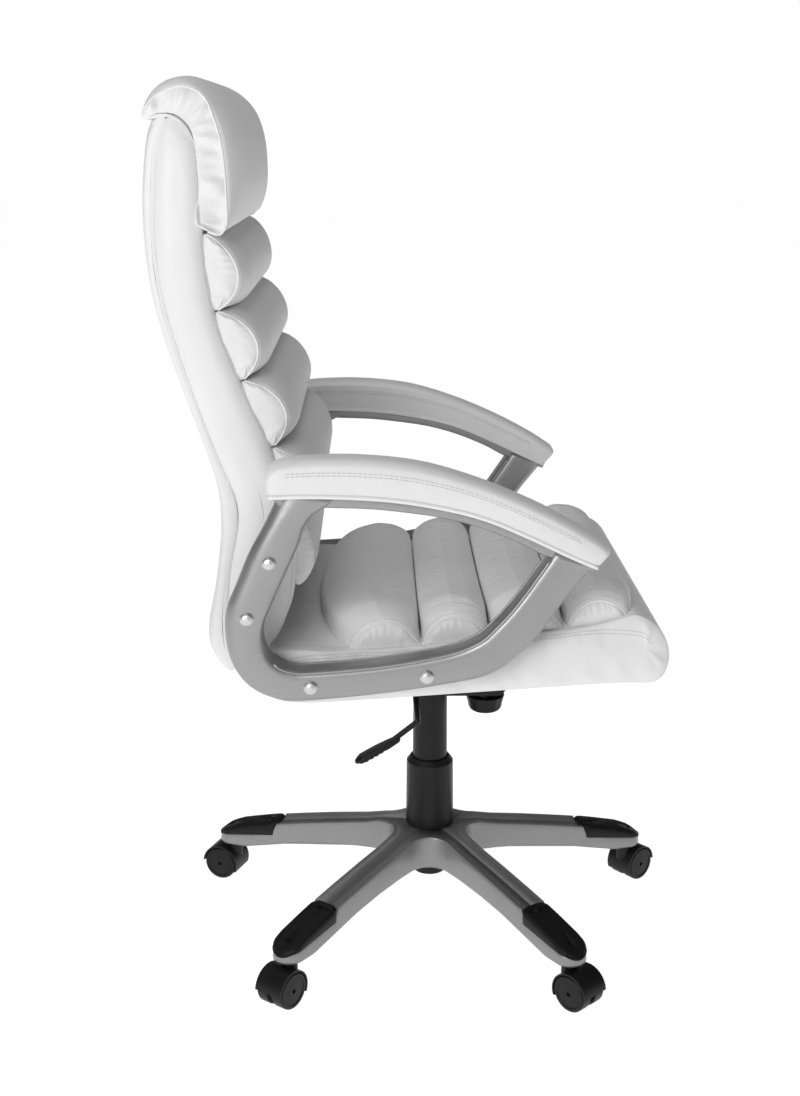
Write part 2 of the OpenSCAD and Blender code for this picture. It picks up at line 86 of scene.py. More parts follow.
def height_at(curve, r):
    """Second coordinate of a curve sorted by its first, at r."""
    for a, b in zip(curve, curve[1:]):
        if a[0] <= r <= b[0]:
            return a[1] + (b[1] - a[1]) * (r - a[0]) / max(b[0] - a[0], 1e-9)
    return curve[0][1] if r < curve[0][0] else curve[-1][1]


def nearest(path, p):
    """Closest point to p on a path."""
    best, found = 1e9, path[0]
    for a, b in zip(path, path[1:]):
        ab = b - a
        t = min(max((p - a).dot(ab) / max(ab.dot(ab), 1e-12), 0), 1)
        q = a + ab * t
        if (p - q).length < best:
            best, found = (p - q).length, q
    return found


def in_space(point, x):
    """A (Y, Z) point at x."""
    return Vector((x, point[0], point[1]))


# ---------- helpers: meshes ----------


def new_piece(name, verts, faces, material, body, slot, replaced=()):
    mesh = bpy.data.meshes.new(name)
    mesh.from_pydata([tuple(v) for v in verts], [], faces)
    mesh.validate()
    mesh.update()
    mesh.shade_smooth()
    mesh.materials.append(material)
    piece = bpy.data.objects.new(name, mesh)
    bpy.context.scene.collection.objects.link(piece)
    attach(piece, body)
    if replaced:
        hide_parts(*replaced)
    return piece


def loft(rings, caps=True):
    """(vertices, faces) of a surface through rings of equal length."""
    n = len(rings[0])
    verts = [v for ring in rings for v in ring]
    faces = []
    for i in range(len(rings) - 1):
        for j in range(n):
            k = (j + 1) % n
            faces.append((i * n + j, i * n + k, (i + 1) * n + k, (i + 1) * n + j))
    if caps:
        faces.append(tuple(range(n))[::-1])
        faces.append(tuple(range((len(rings) - 1) * n, len(rings) * n)))
    return verts, faces


def add_to(verts, faces, more):
    """Adds a (vertices, faces) pair to lists of both."""
    more_verts, more_faces = more
    faces += [tuple(i + len(verts) for i in face) for face in more_faces]
    verts += more_verts


def subdivide(piece):
    modifier = piece.modifiers.new("Subdivision", "SUBSURF")
    modifier.levels = modifier.render_levels = 1


def tube_rings(path, radius, sides=8):
    """Rings of a round tube along a path, turned as little as possible on the way."""
    rings, side = [], None
    for i, p in enumerate(path):
        tangent = (path[min(i + 1, len(path) - 1)] - path[max(i - 1, 0)]).normalized()
        if side is None:
            side = tangent.orthogonal().normalized()
        side = (side - tangent * side.dot(tangent)).normalized()
        up = tangent.cross(side)
        rings.append([p + radius * (side * math.cos(a) + up * math.sin(a))
                      for a in (math.tau * k / sides for k in range(sides))])
    return rings


def tube(name, path, radius, material, body, slot):
    return new_piece(name, *loft(tube_rings(path, radius)), material, body, slot)


def surface_of(piece):
    """Tree of a piece's shown surface."""
    depsgraph = bpy.context.evaluated_depsgraph_get()
    shown = piece.evaluated_get(depsgraph)
    mesh = shown.to_mesh()
    tree = BVHTree.FromPolygons([v.co.copy() for v in mesh.vertices],
                                [tuple(p.vertices) for p in mesh.polygons])
    shown.to_mesh_clear()
    return tree


COVER = ("seat", "white_leather")  # body and slot of every cover, its piping and its thread
STITCH_PITCH = 0.0060
SHORTEST_STITCH = 0.00084
STITCH_R = 0.00055
STITCH_LIFT = 0.0002


def stitches(name, paths, tree):
    """Rows of thread stitches laid on a surface along each path. A stitch takes three quarters
    of its pitch, and its ends sink into the leather."""
    verts, faces = [], []
    for path in paths:
        length = sum((b - a).length for a, b in zip(path, path[1:]))
        count = max(int(length / STITCH_PITCH), 2)
        points = even(path, count * 4 + 1)
        for k in range(count):
            start, end = points[4 * k], points[4 * k + 3]
            dash = []
            for t in (0.0, 0.33, 0.67, 1.0):
                p = start.lerp(end, t)
                spot, normal, _, _ = tree.find_nearest(p)
                if spot is None:
                    break
                sink = STITCH_R * (0.9 if t in (0.0, 1.0) else 0.0)
                dash.append(spot + normal * (STITCH_LIFT - sink))
            if len(dash) < 4 or (dash[3] - dash[0]).length < SHORTEST_STITCH:
                continue
            add_to(verts, faces, loft(tube_rings(dash, STITCH_R, 5)))
    return new_piece(name, verts, faces, THREAD, *COVER)


def solid_levels(levels, top, bottom):
    """(vertices, faces) of a solid from rings stacked from its underside over its edge to its
    top, closed at a top and a bottom point."""
    verts, faces = loft(levels, caps=False)
    n = len(levels[0])
    last = (len(levels) - 1) * n
    verts += [bottom, top]
    faces += [(len(verts) - 2, (j + 1) % n, j) for j in range(n)]
    faces += [(len(verts) - 1, last + j, last + (j + 1) % n) for j in range(n)]
    return verts, faces


# ---------- materials ----------


def node_material(name, colour, rough, metallic=0.0, specular=0.5):
    """A principled material with its node tree, its shader and its object coordinates."""
    material = bpy.data.materials.new(name)
    material.use_nodes = True
    tree = material.node_tree
    shader = tree.nodes["Principled BSDF"]
    shader.inputs["Base Color"].default_value = (*colour, 1)
    shader.inputs["Roughness"].default_value = rough
    shader.inputs["Metallic"].default_value = metallic
    shader.inputs["Specular IOR Level"].default_value = specular
    coords = tree.nodes.new("ShaderNodeTexCoord").outputs["Object"]
    return material, tree, shader, coords


def texture(tree, kind, coords, scale, **values):
    """A texture node on the given coordinates."""
    node = tree.nodes.new(kind)
    tree.links.new(coords, node.inputs["Vector"])
    node.inputs["Scale"].default_value = scale
    for key, value in values.items():
        node.inputs[key.replace("_", " ")].default_value = value
    return node


def ramp(tree, source, stops):
    """Colour ramp from (position, colour) stops."""
    node = tree.nodes.new("ShaderNodeValToRGB")
    tree.links.new(source, node.inputs["Fac"])
    for i, (place, colour) in enumerate(stops):
        stop = node.color_ramp.elements[i] if i < 2 else node.color_ramp.elements.new(place)
        stop.position, stop.color = place, (*colour, 1)
    return node.outputs["Color"]


def bump(tree, shader, height, distance, strength=1.0, under=None):
    """Bumps the shader's normal, on top of an earlier bump if one is given."""
    node = tree.nodes.new("ShaderNodeBump")
    node.inputs["Distance"].default_value = distance
    node.inputs["Strength"].default_value = strength
    tree.links.new(height, node.inputs["Height"])
    if under is not None:
        tree.links.new(under, node.inputs["Normal"])
    tree.links.new(node.outputs["Normal"], shader.inputs["Normal"])
    return node.outputs["Normal"]


def grey(v):
    return (v, v, v)


def leather(name, light, dark, rough=0.46, wrinkles=None):
    """White leather: pebble grain, fine creases and a faint unevenness of tone, with long
    wrinkles if their density along X, Y and Z is given."""
    material, tree, shader, coords = node_material(name, light, rough)
    tone = texture(tree, "ShaderNodeTexNoise", coords, 9, Detail=4)
    tree.links.new(ramp(tree, tone.outputs["Fac"], [(0.3, dark), (0.7, light)]),
                   shader.inputs["Base Color"])
    sheen_map = texture(tree, "ShaderNodeTexNoise", coords, 60, Detail=3)
    tree.links.new(ramp(tree, sheen_map.outputs["Fac"],
                        [(0.3, grey(rough - 0.06)), (0.7, grey(rough + 0.08))]),
                   shader.inputs["Roughness"])
    creases = texture(tree, "ShaderNodeTexNoise", coords, 42, Detail=5, Distortion=0.6)
    soft = bump(tree, shader, creases.outputs["Fac"], 0.0011)
    if wrinkles:
        stretch = tree.nodes.new("ShaderNodeMapping")
        stretch.inputs["Scale"].default_value = wrinkles
        tree.links.new(coords, stretch.inputs["Vector"])
        folds = texture(tree, "ShaderNodeTexNoise", stretch.outputs["Vector"], 1, Detail=2,
                        Distortion=0.4)
        lines = ramp(tree, folds.outputs["Fac"], [(0.50, grey(0)), (0.74, grey(0)),
                                                  (0.57, grey(0.75)), (0.62, grey(0.2))])
        soft = bump(tree, shader, lines, 0.0013, 0.7, soft)
    pebbles = texture(tree, "ShaderNodeTexVoronoi", coords, 620, Randomness=1.0)
    bump(tree, shader, pebbles.outputs["Distance"], 0.00028, 0.5, soft)
    return material


def painted_metal(name, colour, dark, rough=0.36, metallic=0.8):
    """Silver paint with fine metal flake."""
    material, tree, shader, coords = node_material(name, colour, rough, metallic)
    flake = texture(tree, "ShaderNodeTexNoise", coords, 900, Detail=2, Roughness=0.7)
    tree.links.new(ramp(tree, flake.outputs["Fac"], [(0.35, dark), (0.65, colour)]),
                   shader.inputs["Base Color"])
    haze = texture(tree, "ShaderNodeTexNoise", coords, 25, Detail=4)
    tree.links.new(ramp(tree, haze.outputs["Fac"],
                        [(0.3, grey(rough - 0.04)), (0.7, grey(rough + 0.06))]),
                   shader.inputs["Roughness"])
    bump(tree, shader, flake.outputs["Fac"], 0.00006, 0.5)
    return material


def plastic(name, colour, rough, grain=700, depth=0.00008, specular=0.22):
    """Moulded plastic with a fine spark-eroded grain."""
    material, tree, shader, coords = node_material(name, colour, rough, 0.0, specular)
    worn = tuple(min(1, c * 1.5 + 0.001) for c in colour)
    patches = texture(tree, "ShaderNodeTexNoise", coords, 14, Detail=5)
    tree.links.new(ramp(tree, patches.outputs["Fac"], [(0.35, colour), (0.75, worn)]),
                   shader.inputs["Base Color"])
    tree.links.new(ramp(tree, patches.outputs["Fac"],
                        [(0.3, grey(rough - 0.05)), (0.7, grey(rough + 0.07))]),
                   shader.inputs["Roughness"])
    grains = texture(tree, "ShaderNodeTexNoise", coords, grain, Detail=3)
    bump(tree, shader, grains.outputs["Fac"], depth, 0.6)
    return material


def bare_metal(name, colour, rough):
    """Turned or drawn metal with fine scratches."""
    material, tree, shader, coords = node_material(name, colour, rough, 1.0)
    scratches = texture(tree, "ShaderNodeTexNoise", coords, 400, Detail=4, Distortion=1.5)
    tree.links.new(ramp(tree, scratches.outputs["Fac"],
                        [(0.3, grey(rough - 0.08)), (0.7, grey(rough + 0.12))]),
                   shader.inputs["Roughness"])
    bump(tree, shader, scratches.outputs["Fac"], 0.00004, 0.4)
    return material


def plywood(name):
    """Wood in thin level plies."""
    material, tree, shader, coords = node_material(name, (0.45, 0.30, 0.17), 0.65)
    plies = texture(tree, "ShaderNodeTexWave", coords, 110, Distortion=2.5, Detail=3)
    plies.bands_direction = "Z"
    tree.links.new(ramp(tree, plies.outputs["Fac"],
                        [(0.2, (0.33, 0.20, 0.10)), (0.8, (0.52, 0.36, 0.21))]),
                   shader.inputs["Base Color"])
    bump(tree, shader, plies.outputs["Fac"], 0.0002, 0.4)
    return material


def woven(name, colour):
    """Non-woven lining cloth."""
    material, tree, shader, coords = node_material(name, colour, 0.9)
    threads = texture(tree, "ShaderNodeTexVoronoi", coords, 900)
    paler = tuple(c * 1.8 for c in colour)
    tree.links.new(ramp(tree, threads.outputs["Distance"], [(0.1, paler), (0.6, colour)]),
                   shader.inputs["Base Color"])
    bump(tree, shader, threads.outputs["Distance"], 0.0003, 0.6)
    return material


LEATHER = leather("white_leather", grey(0.775), grey(0.745))
SEAT_LEATHER = leather("white_seat_leather", grey(0.775), grey(0.74), wrinkles=(34, 6, 6))
PIPING = leather("white_piping", grey(0.80), grey(0.77), 0.44)
THREAD = leather("white_thread", grey(0.66), grey(0.58), 0.6)
SILVER = painted_metal("silver_paint", grey(0.37), grey(0.29), 0.38, 0.7)
SILVER_BASE = painted_metal("silver_base_paint", grey(0.31), grey(0.24), 0.36, 0.5)
BLACK = plastic("black_plastic", grey(0.007), 0.42)
SLEEVE = plastic("black_sleeve", grey(0.008), 0.38, 500, 0.00005)
CAP = plastic("black_cap", grey(0.006), 0.55, 420, 0.00012)
NYLON = plastic("wheel_nylon", grey(0.006), 0.38)
BLACK_STEEL = plastic("black_steel", grey(0.009), 0.32, 1100, 0.00004)
STEEL = bare_metal("bright_steel", grey(0.62), 0.28)
SATIN = bare_metal("satin_silver", grey(0.60), 0.42)
NATURAL = plastic("natural_plastic", (0.62, 0.60, 0.54), 0.5)
WOOD = plywood("plywood")
LINING = woven("lining", grey(0.02))

# the material of every CAD node, by the start of its name
FINISHES = {
    "star_base": SILVER_BASE, "leg_cap": CAP, "caster_stems": STEEL,
    "gas_outer_tube": BLACK_STEEL, "guide_bush": NATURAL, "lower_sleeve": SLEEVE,
    "thrust_bearing": STEEL, "piston_rod": STEEL, "gas_cylinder": STEEL, "upper_sleeve": SLEEVE,
    "valve_button": BLACK, "mechanism_housing": BLACK_STEEL, "tilt_axle": STEEL,
    "tilt_spring": BLACK_STEEL, "tension_bolt": STEEL, "tension_knob": BLACK,
    "lock_slider": STEEL, "lever_rod": BLACK_STEEL, "lever_grip": BLACK,
    "seat_plate": BLACK_STEEL, "seat_board": WOOD,
    "dust_cover": LINING, "seat_cushion": LEATHER, "seat_rolls": LEATHER, "back_": LEATHER,
    "headrest": LEATHER, "arm_frame": SILVER, "arm_pad": LEATHER, "arm_bolts": SATIN,
    "caster_hood": BLACK, "caster_axle": BLACK_STEEL, "wheel": NYLON,
}
for name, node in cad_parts.items():
    finish = next(m for start, m in FINISHES.items() if name.startswith(start))
    node.data.materials.clear()
    node.data.materials.append(finish)

# ---------- camera, light and floor ----------

EYE = Vector((-2.0647, 0.0778, 1.1094))
LOOK = Vector((0.96547, -0.01611, -0.26))
camera = bpy.data.objects.new("camera", bpy.data.cameras.new("camera"))
bpy.context.scene.collection.objects.link(camera)
camera.location = EYE
camera.rotation_euler = LOOK.to_track_quat("-Z", "Y").to_euler()
camera.data.lens = 50.25
camera.data.sensor_width = 36
bpy.context.scene.camera = camera


def area_light(name, place, aim, size, power):
    light = bpy.data.lights.new(name, "AREA")
    light.shape = "DISK"
    light.size = size
    light.energy = power
    lamp = bpy.data.objects.new(name, light)
    bpy.context.scene.collection.objects.link(lamp)
    lamp.location = place
    lamp.rotation_euler = (Vector(aim) - Vector(place)).to_track_quat("-Z", "Y").to_euler()


area_light("key", (-2.8, 1.3, 1.6), (0, 0.1, 0.7), 1.6, 47)
area_light("top", (0.2, 0.3, 3.2), (0, 0, 0.5), 2.2, 24)

world = bpy.data.worlds.new("studio")
bpy.context.scene.world = world
world.use_nodes = True
sky = world.node_tree.nodes["Background"]
sky.inputs["Color"].default_value = (1, 1, 1, 1)
sky.inputs["Strength"].default_value = 0.12
backdrop = world.node_tree.nodes.new("ShaderNodeBackground")
backdrop.inputs["Color"].default_value = (1, 1, 1, 1)
backdrop.inputs["Strength"].default_value = 1.0
choice = world.node_tree.nodes.new("ShaderNodeMixShader")
ray = world.node_tree.nodes.new("ShaderNodeLightPath")
world.node_tree.links.new(ray.outputs["Is Camera Ray"], choice.inputs["Fac"])
world.node_tree.links.new(sky.outputs["Background"], choice.inputs[1])
world.node_tree.links.new(backdrop.outputs["Background"], choice.inputs[2])
world.node_tree.links.new(choice.outputs["Shader"],
                          world.node_tree.nodes["World Output"].inputs["Surface"])
bpy.context.scene.view_settings.view_transform = "Standard"

floor_material, _, floor_shader, _ = node_material("floor", grey(0.35), 0.8)
floor_shader.inputs["Emission Color"].default_value = (1, 1, 1, 1)
floor_shader.inputs["Emission Strength"].default_value = 0.94
floor_mesh = bpy.data.meshes.new("floor")
FLOOR_REACH = 30
floor_mesh.from_pydata([(x * FLOOR_REACH, y * FLOOR_REACH, 0)
                        for x, y in ((-1, -1), (1, -1), (1, 1), (-1, 1))], [], [(0, 1, 2, 3)])
floor_mesh.materials.append(floor_material)
floor = bpy.data.objects.new("floor", floor_mesh)
bpy.context.scene.collection.objects.link(floor)

# ---------- padded pieces ----------

AROUND = 72  # points round a padded form's outline
CHORD = 20  # of them, those behind a roll
FRONT_END = AROUND - CHORD  # index of the last front point of a roll
PRESSURE = 3.0
SIMULATED_FRAMES = 20
END_ROUNDING = 0.55
FOLD_PITCH = 0.42  # of the puckers beside a seam, per outline point
FOLD_GAIN = 3.2
T2_GAIN = 6.75  # makes t * t * (1 - t) peak at 1
cloths = []  # pieces to simulate together


def pillow(name, edge, mid, spine, half, rise, crown, replaced, stations=30, rings=7,
           dish=None, place=None, pucker=0.0, cap_move=0.004, material=LEATHER,
           pinned_back=None, face_power=2.6):
    """A padded form across the chair. Its side outline is edge at the end seams and mid further
    in, reached over rise. The end faces run from the seam in to the spine, crowned."""
    n = len(edge)
    centre = [nearest(spine, p) for p in edge]

    def face(side):
        out = []
        for k in range(rings):
            t = k / rings
            x = half + crown * (1 - t**face_power)
            ring = []
            for j in range(n):
                p = centre[j].lerp(edge[j], t)
                fold = noise.noise(Vector((j * FOLD_PITCH, side * 3.1, n * 0.37)))
                wave = pucker * fold * FOLD_GAIN * t * t * (1 - t) * T2_GAIN
                ring.append(in_space(p, side * (x + wave)))
            out.append(ring)
        return out

    xs = [-half * math.cos(math.pi * i / stations) for i in range(stations + 1)]
    all_rings = face(-1)
    first_seam = len(all_rings)
    for x in xs:
        q = max(abs(x) - (half - rise), 0) / rise
        blend = max(1 - q * q, 0) ** END_ROUNDING
        ring = []
        for j in range(n):
            p = edge[j].lerp(mid[j], blend)
            if dish:
                p = dish(p, x)
            ring.append(in_space(p, x))
        all_rings.append(ring)
    last_seam = len(all_rings) - 1
    all_rings += face(1)[::-1]
    verts, faces = loft(all_rings, caps=False)
    if place:
        verts = [place(v) for v in verts]
    piece = new_piece(name, verts, faces, material, *COVER, replaced)
    pins = set()
    for ring in (0, first_seam, last_seam, len(all_rings) - 1):
        pins |= {ring * n + j for j in range(n)}
    if pinned_back:
        for i in range(len(all_rings)):
            pins |= {i * n + j for j in range(*pinned_back)}
    group = piece.vertex_groups.new(name="seams")
    group.add(list(pins), 1.0, "REPLACE")
    cloths.append((piece, cap_move))
    piece["seam_a"], piece["seam_b"], piece["around"] = first_seam, last_seam, n
    return piece


def ring_path(piece, which, shift, start, end):
    """The places of a piece between two outline points, at the near (-1) or far (1) side: on
    its end seam, or shift rings inward along the wall, or, if negative, out on the end face."""
    n = piece["around"]
    ring = piece["seam_a"] + shift if which < 0 else piece["seam_b"] - shift
    return [piece.data.vertices[ring * n + j % n].co.copy() for j in range(start, end + 1)]


def simulate(items):
    """Puffs the pieces with cloth under pressure, all together, and keeps the result in their
    meshes."""
    scene = bpy.context.scene
    scene.frame_start, scene.frame_end = 1, SIMULATED_FRAMES
    for piece, _ in items:
        cloth = piece.modifiers.new("Cloth", "CLOTH")
        cloth.settings.quality = 4
        cloth.settings.mass = 0.4
        cloth.settings.use_pressure = True
        cloth.settings.uniform_pressure_force = PRESSURE
        cloth.settings.shrink_min = -0.02
        cloth.settings.tension_stiffness = cloth.settings.compression_stiffness = 20
        cloth.settings.bending_stiffness = 2.0
        cloth.settings.effector_weights.gravity = 0
        cloth.settings.vertex_group_mass = "seams"
        cloth.collision_settings.use_collision = False
        cloth.point_cache.frame_start, cloth.point_cache.frame_end = 1, SIMULATED_FRAMES
    for f in range(1, SIMULATED_FRAMES + 1):
        scene.frame_set(f)
    depsgraph = bpy.context.evaluated_depsgraph_get()
    results = []
    for piece, cap in items:
        shown = piece.evaluated_get(depsgraph)
        mesh = shown.to_mesh()
        moved = []
        for rest, new in zip(piece.data.vertices, mesh.vertices):
            step = new.co - rest.co
            if step.length > cap:
                step *= cap / step.length
            moved.append(rest.co + step)
        shown.to_mesh_clear()
        results.append((piece, moved))
    for piece, moved in results:
        piece.modifiers.remove(piece.modifiers["Cloth"])
        for v, co in zip(piece.data.vertices, moved):
            v.co = co
        piece.data.update()
    scene.frame_set(1)


def section(low, high, wall, arch, round_power, skew=0.0, root=0.006):
    """Closed outline of a roll standing on the line low-high: walls, then an arched front,
    deeper at its low end by skew, then a root behind the line."""
    along = high - low
    half = along.length / 2
    a = along.normalized()
    n = Vector((-a[1], a[0]))
    middle = (low + high) / 2
    front = []
    for i in range(181):
        angle = math.radians(-90 + i)
        s, c = math.sin(angle), math.cos(angle)
        t = math.copysign(abs(s) ** (2 / round_power), s)
        depth = (wall * max(c, 0) ** (2 / round_power) + arch * (1 - t * t)) * (1 - skew * t)
        front.append(middle + a * (half * t - skew * 0.35 * depth) + n * depth)
    back = [high.lerp(low, k / CHORD) - n * root * min(1, 5 * min(k, CHORD - k) / CHORD)
            for k in range(1, CHORD)]
    return even(front, AROUND - len(back)) + back


SPINE_SHARES = (0.2, 0.35, 0.5, 0.65, 0.8)  # of a roll's own line
ROLL_GAP = 0.0006  # between a roll and its seam

# --- back ---

roll_edge = mm([(178, 569), (176, 656), (203, 745), (238, 826), (267, 909), (278, 1000)])
front_seam = smooth(mm([(216, 486), (200, 506), (187, 537)]) + roll_edge
                    + mm([(279, 1075), (286, 1116), (303, 1133), (318, 1130)]), 6)
rear_seam = smooth(mm([(327, 1100), (333, 1020), (330, 940), (308, 850), (273, 745), (248, 681),
                       (247, 645), (258, 590), (262, 520), (252, 462)]), 6)
rear_line = smooth(mm([(268, 456), (288, 480), (291, 510), (279, 570), (271, 640), (275, 700),
                       (296, 770), (320, 840), (342, 920), (350, 990), (350, 1050), (341, 1118),
                       (329, 1138)]), 6)

back_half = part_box("back_cushion")[1][0]
PANEL_FRONT = 60  # outline points of the side panels
PANEL_REAR = 52
core_front = even(front_seam, PANEL_FRONT)
core_rear = even([front_seam[-1]] + rear_seam, PANEL_REAR)[1:]
core_outline = core_front + core_rear + even([core_rear[-1], mm([(236, 466)])[0],
                                              core_front[0]], 10)[1:-1]
core_spine = even([a.lerp(b, 0.5) for a, b in zip(even(core_front, 40),
                                                  even(core_rear, 40)[::-1])][3:-4], 30)
side_panels = pillow("back_side_panels", core_outline, core_outline, core_spine,
                     back_half - 0.008, 0.03, 0.011, ("back_cushion",), stations=16,
                     rings=10, face_power=3.2)

SHELL_REAR = 46  # outline points on the rear face of the shell cover
SHELL_LAP = Vector((0.0015, 0))  # how far it reaches in under the side panels' seam
shell_inner = even([p - SHELL_LAP for p in rear_seam[::-1]] + mm([(309, 1129)]), SHELL_REAR)
shell_outer = even(rear_line, SHELL_REAR)
shell_edge = [a.lerp(b, 0.62) for a, b in zip(shell_inner, shell_outer)]
shell_front = even(shell_inner[::-1], AROUND - SHELL_REAR)
shell_spine = even([a.lerp(b, 0.3) for a, b in zip(shell_inner, shell_outer)][2:-2], 30)
pillow("back_shell_cover", shell_edge + shell_front, shell_outer + shell_front, shell_spine,
       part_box("back_shell")[1][0] - 0.001, 0.06, 0.0015, ("back_shell",), stations=28, rings=4,
       cap_move=0.003, pinned_back=(SHELL_REAR, AROUND))

# from the lumbar roll up: depth at the ends, wall depth further in, half width
BACK_ROLLS = [(0.022, 0.012, 0.233), (0.032, 0.030, 0.241), (0.034, 0.030, 0.241),
              (0.034, 0.030, 0.241), (0.034, 0.030, 0.241)]
END_WALL = 0.012
back_rolls = []
for i, (depth, wall, half) in enumerate(BACK_ROLLS):
    low, high = roll_edge[i], roll_edge[i + 1]
    gap = (high - low).normalized() * ROLL_GAP
    end = section(low + gap, high - gap, END_WALL, depth - END_WALL, 2.4, 0.12, 0.009)
    mid = section(low + gap, high - gap, wall, 0.016, 5, 0.10, 0.009)
    normal = Vector((-(high - low)[1], (high - low)[0])).normalized()
    spine = [low.lerp(high, t) + normal * depth * 0.42 for t in SPINE_SHARES]
    roll = pillow(f"back_roll_{5 - i}", end, mid, spine, half, 0.075, 0.005,
                  ("back_rolls",), stations=34,
                  pinned_back=(FRONT_END + 1, AROUND), pucker=0.0007)
    back_rolls.append(roll)

head_seam = smooth(mm([(276, 1004), (258, 998), (249, 1012), (249, 1040), (250, 1071),
                       (254, 1105), (262, 1133), (269, 1150), (280, 1160), (294, 1164),
                       (308, 1162), (324, 1155), (337, 1143), (344, 1129)]), 6)
head_front = smooth(mm([(276, 1004), (246, 1005), (234, 1022), (228, 1045), (227, 1074),
                        (230, 1109), (240, 1140), (257, 1161), (278, 1174), (298, 1179),
                        (322, 1174), (339, 1160), (346, 1143), (346, 1129)]), 6)
head_back = smooth(mm([(342, 1124), (332, 1128), (318, 1131), (302, 1128), (288, 1112),
                       (282, 1075), (285, 1040), (287, 1009)]), 6)
HEAD_FRONT = 56  # outline points on the headrest's front


def head_outline(front):
    """The headrest's outline with the given front."""
    back = even([front[-1]] + head_back + [front[0]], AROUND - HEAD_FRONT + 2)[1:-1]
    return even(front, HEAD_FRONT) + back


head_spine = smooth(mm([(279, 1012), (281, 1075), (286, 1114), (302, 1132), (320, 1135),
                        (336, 1131)]), 6)
headrest = pillow("headrest_cover", head_outline(head_seam), head_outline(head_front),
                  head_spine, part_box("headrest")[1][0] - 0.003, 0.100, 0.0022, ("headrest",),
                  stations=36, rings=10, pucker=0.0030,
                  pinned_back=(HEAD_FRONT + 1, AROUND))

# --- seat ---

SEAT_Z = 0.432
SEAT_PITCH = math.radians(3.45)


def on_seat(v):
    """From the pitched seat's own frame to the chair's."""
    return Vector((v[0], v[1] * math.cos(SEAT_PITCH) + v[2] * math.sin(SEAT_PITCH),
                   SEAT_Z - v[1] * math.sin(SEAT_PITCH) + v[2] * math.cos(SEAT_PITCH)))


base_bottom = smooth(mm([(200, 8), (170, 0), (60, -0.5), (-120, 0.5), (-215, 1), (-255, -1)]), 4)
base_front = smooth(mm([(-266, -2), (-278, 1), (-287, 12), (-292, 32), (-289, 52), (-280, 70),
                        (-266, 83), (-250, 90)]), 5)
base_top = smooth(mm([(-240, 87), (-200, 78), (-155, 74), (-62, 68), (23, 65), (110, 65),
                      (160, 69), (200, 72), (211, 64), (211, 36), (206, 14)]), 4)
base_outline = even(base_bottom + base_front + base_top + [base_bottom[0]], 133)[:-1]
base_spine = smooth(mm([(165, 32), (60, 32), (-60, 34), (-150, 38), (-240, 44), (-262, 46)]), 5)
seat_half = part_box("seat_cushion")[1][0]
seat_base = pillow("seat_base_cover", base_outline, base_outline, base_spine,
                   seat_half - 0.006, 0.03, 0.006, ("seat_cushion",), stations=30, rings=9,
                   place=on_seat, pucker=0.0014, cap_move=0.003, face_power=4,
                   material=SEAT_LEATHER)

ROLL_PITCH = 0.087
BULGE_HALF = 0.247  # half the width over which the outer rolls' edges bulge
REAR_BULGE = 0.043
FRONT_BULGE = 0.014
roll_seams = [Vector(p) for p in ((0.1075, 0.056), (0.0165, 0.057), (-0.071, 0.061),
                                  (-0.1645, 0.066), (-0.2490, 0.072))]


def seat_dish(p, x):
    """The seat is lower in its middle than near its sides."""
    height = max(p[1] - 0.06, 0) / 0.055
    return Vector((p[0], p[1] - 0.016 * height * max(1 - (x / 0.2) ** 2, 0)))


def rear_bulge(p, x):
    """The rearmost roll's rear edge curves back between its ends."""
    p = seat_dish(p, x)
    share = min(max((p[0] - roll_seams[1][0]) / ROLL_PITCH, 0), 1)
    arc = max(1 - (x / BULGE_HALF) ** 2, 0) ** 0.8
    return Vector((p[0] + REAR_BULGE * share * arc, p[1]))


def front_bulge(p, x):
    """The frontmost roll's front edge curves forward between its ends."""
    p = seat_dish(p, x)
    share = min(max((roll_seams[3][0] - p[0]) / ROLL_PITCH, 0), 1)
    arc = max(1 - (x / BULGE_HALF) ** 2, 0) ** 0.5
    return Vector((p[0] - FRONT_BULGE * share * arc, p[1]))


seat_rolls = []
for i, dish in enumerate((rear_bulge, seat_dish, seat_dish, front_bulge)):
    rear = roll_seams[i] - Vector((ROLL_GAP, 0))
    front = roll_seams[i + 1] + Vector((ROLL_GAP, 0))
    end = section(front, rear, 0.012, 0.026, 2.6)
    mid = section(front, rear, 0.038, 0.017, 11)
    spine = [front.lerp(rear, t) + Vector((0, 0.016)) for t in SPINE_SHARES]
    roll = pillow(f"seat_roll_{i + 1}", end, mid, spine, seat_half - 0.018, 0.08, 0.005,
                  ("seat_rolls",), stations=36, dish=dish, place=on_seat,
                  pinned_back=(FRONT_END + 1, AROUND), pucker=0.0005, material=SEAT_LEATHER)
    seat_rolls.append(roll)

# --- arm pads ---

pad_under = smooth(mm([(-186, 614), (-148, 631), (-100, 654), (-50, 675), (0, 688), (55, 697),
                       (110, 701), (165, 702), (203, 701)]), 5)
pad_top = smooth(mm([(207, 704), (208, 722), (203, 734), (190, 741), (165, 745), (100, 746),
                     (25, 738), (-46, 717), (-110, 690), (-160, 664), (-190, 645),
                     (-204, 634), (-198, 624)]), 5)
PAD_UNDER = 46  # outline points of a pad
PAD_TOP = 58
pad_spine = smooth(mm([(-176, 630), (-110, 668), (-46, 696), (25, 715), (100, 723),
                       (188, 722)]), 6)
pad_mid = even(pad_under, PAD_UNDER) + even(pad_top, PAD_TOP)
pad_edge = pad_mid[:PAD_UNDER] + [p.lerp(nearest(pad_spine, p), 0.36)
                                  for p in pad_mid[PAD_UNDER:]]
pad_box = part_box("arm_pad_right")
pad_x = (pad_box[0][0] + pad_box[1][0]) / 2
arm_pads = []
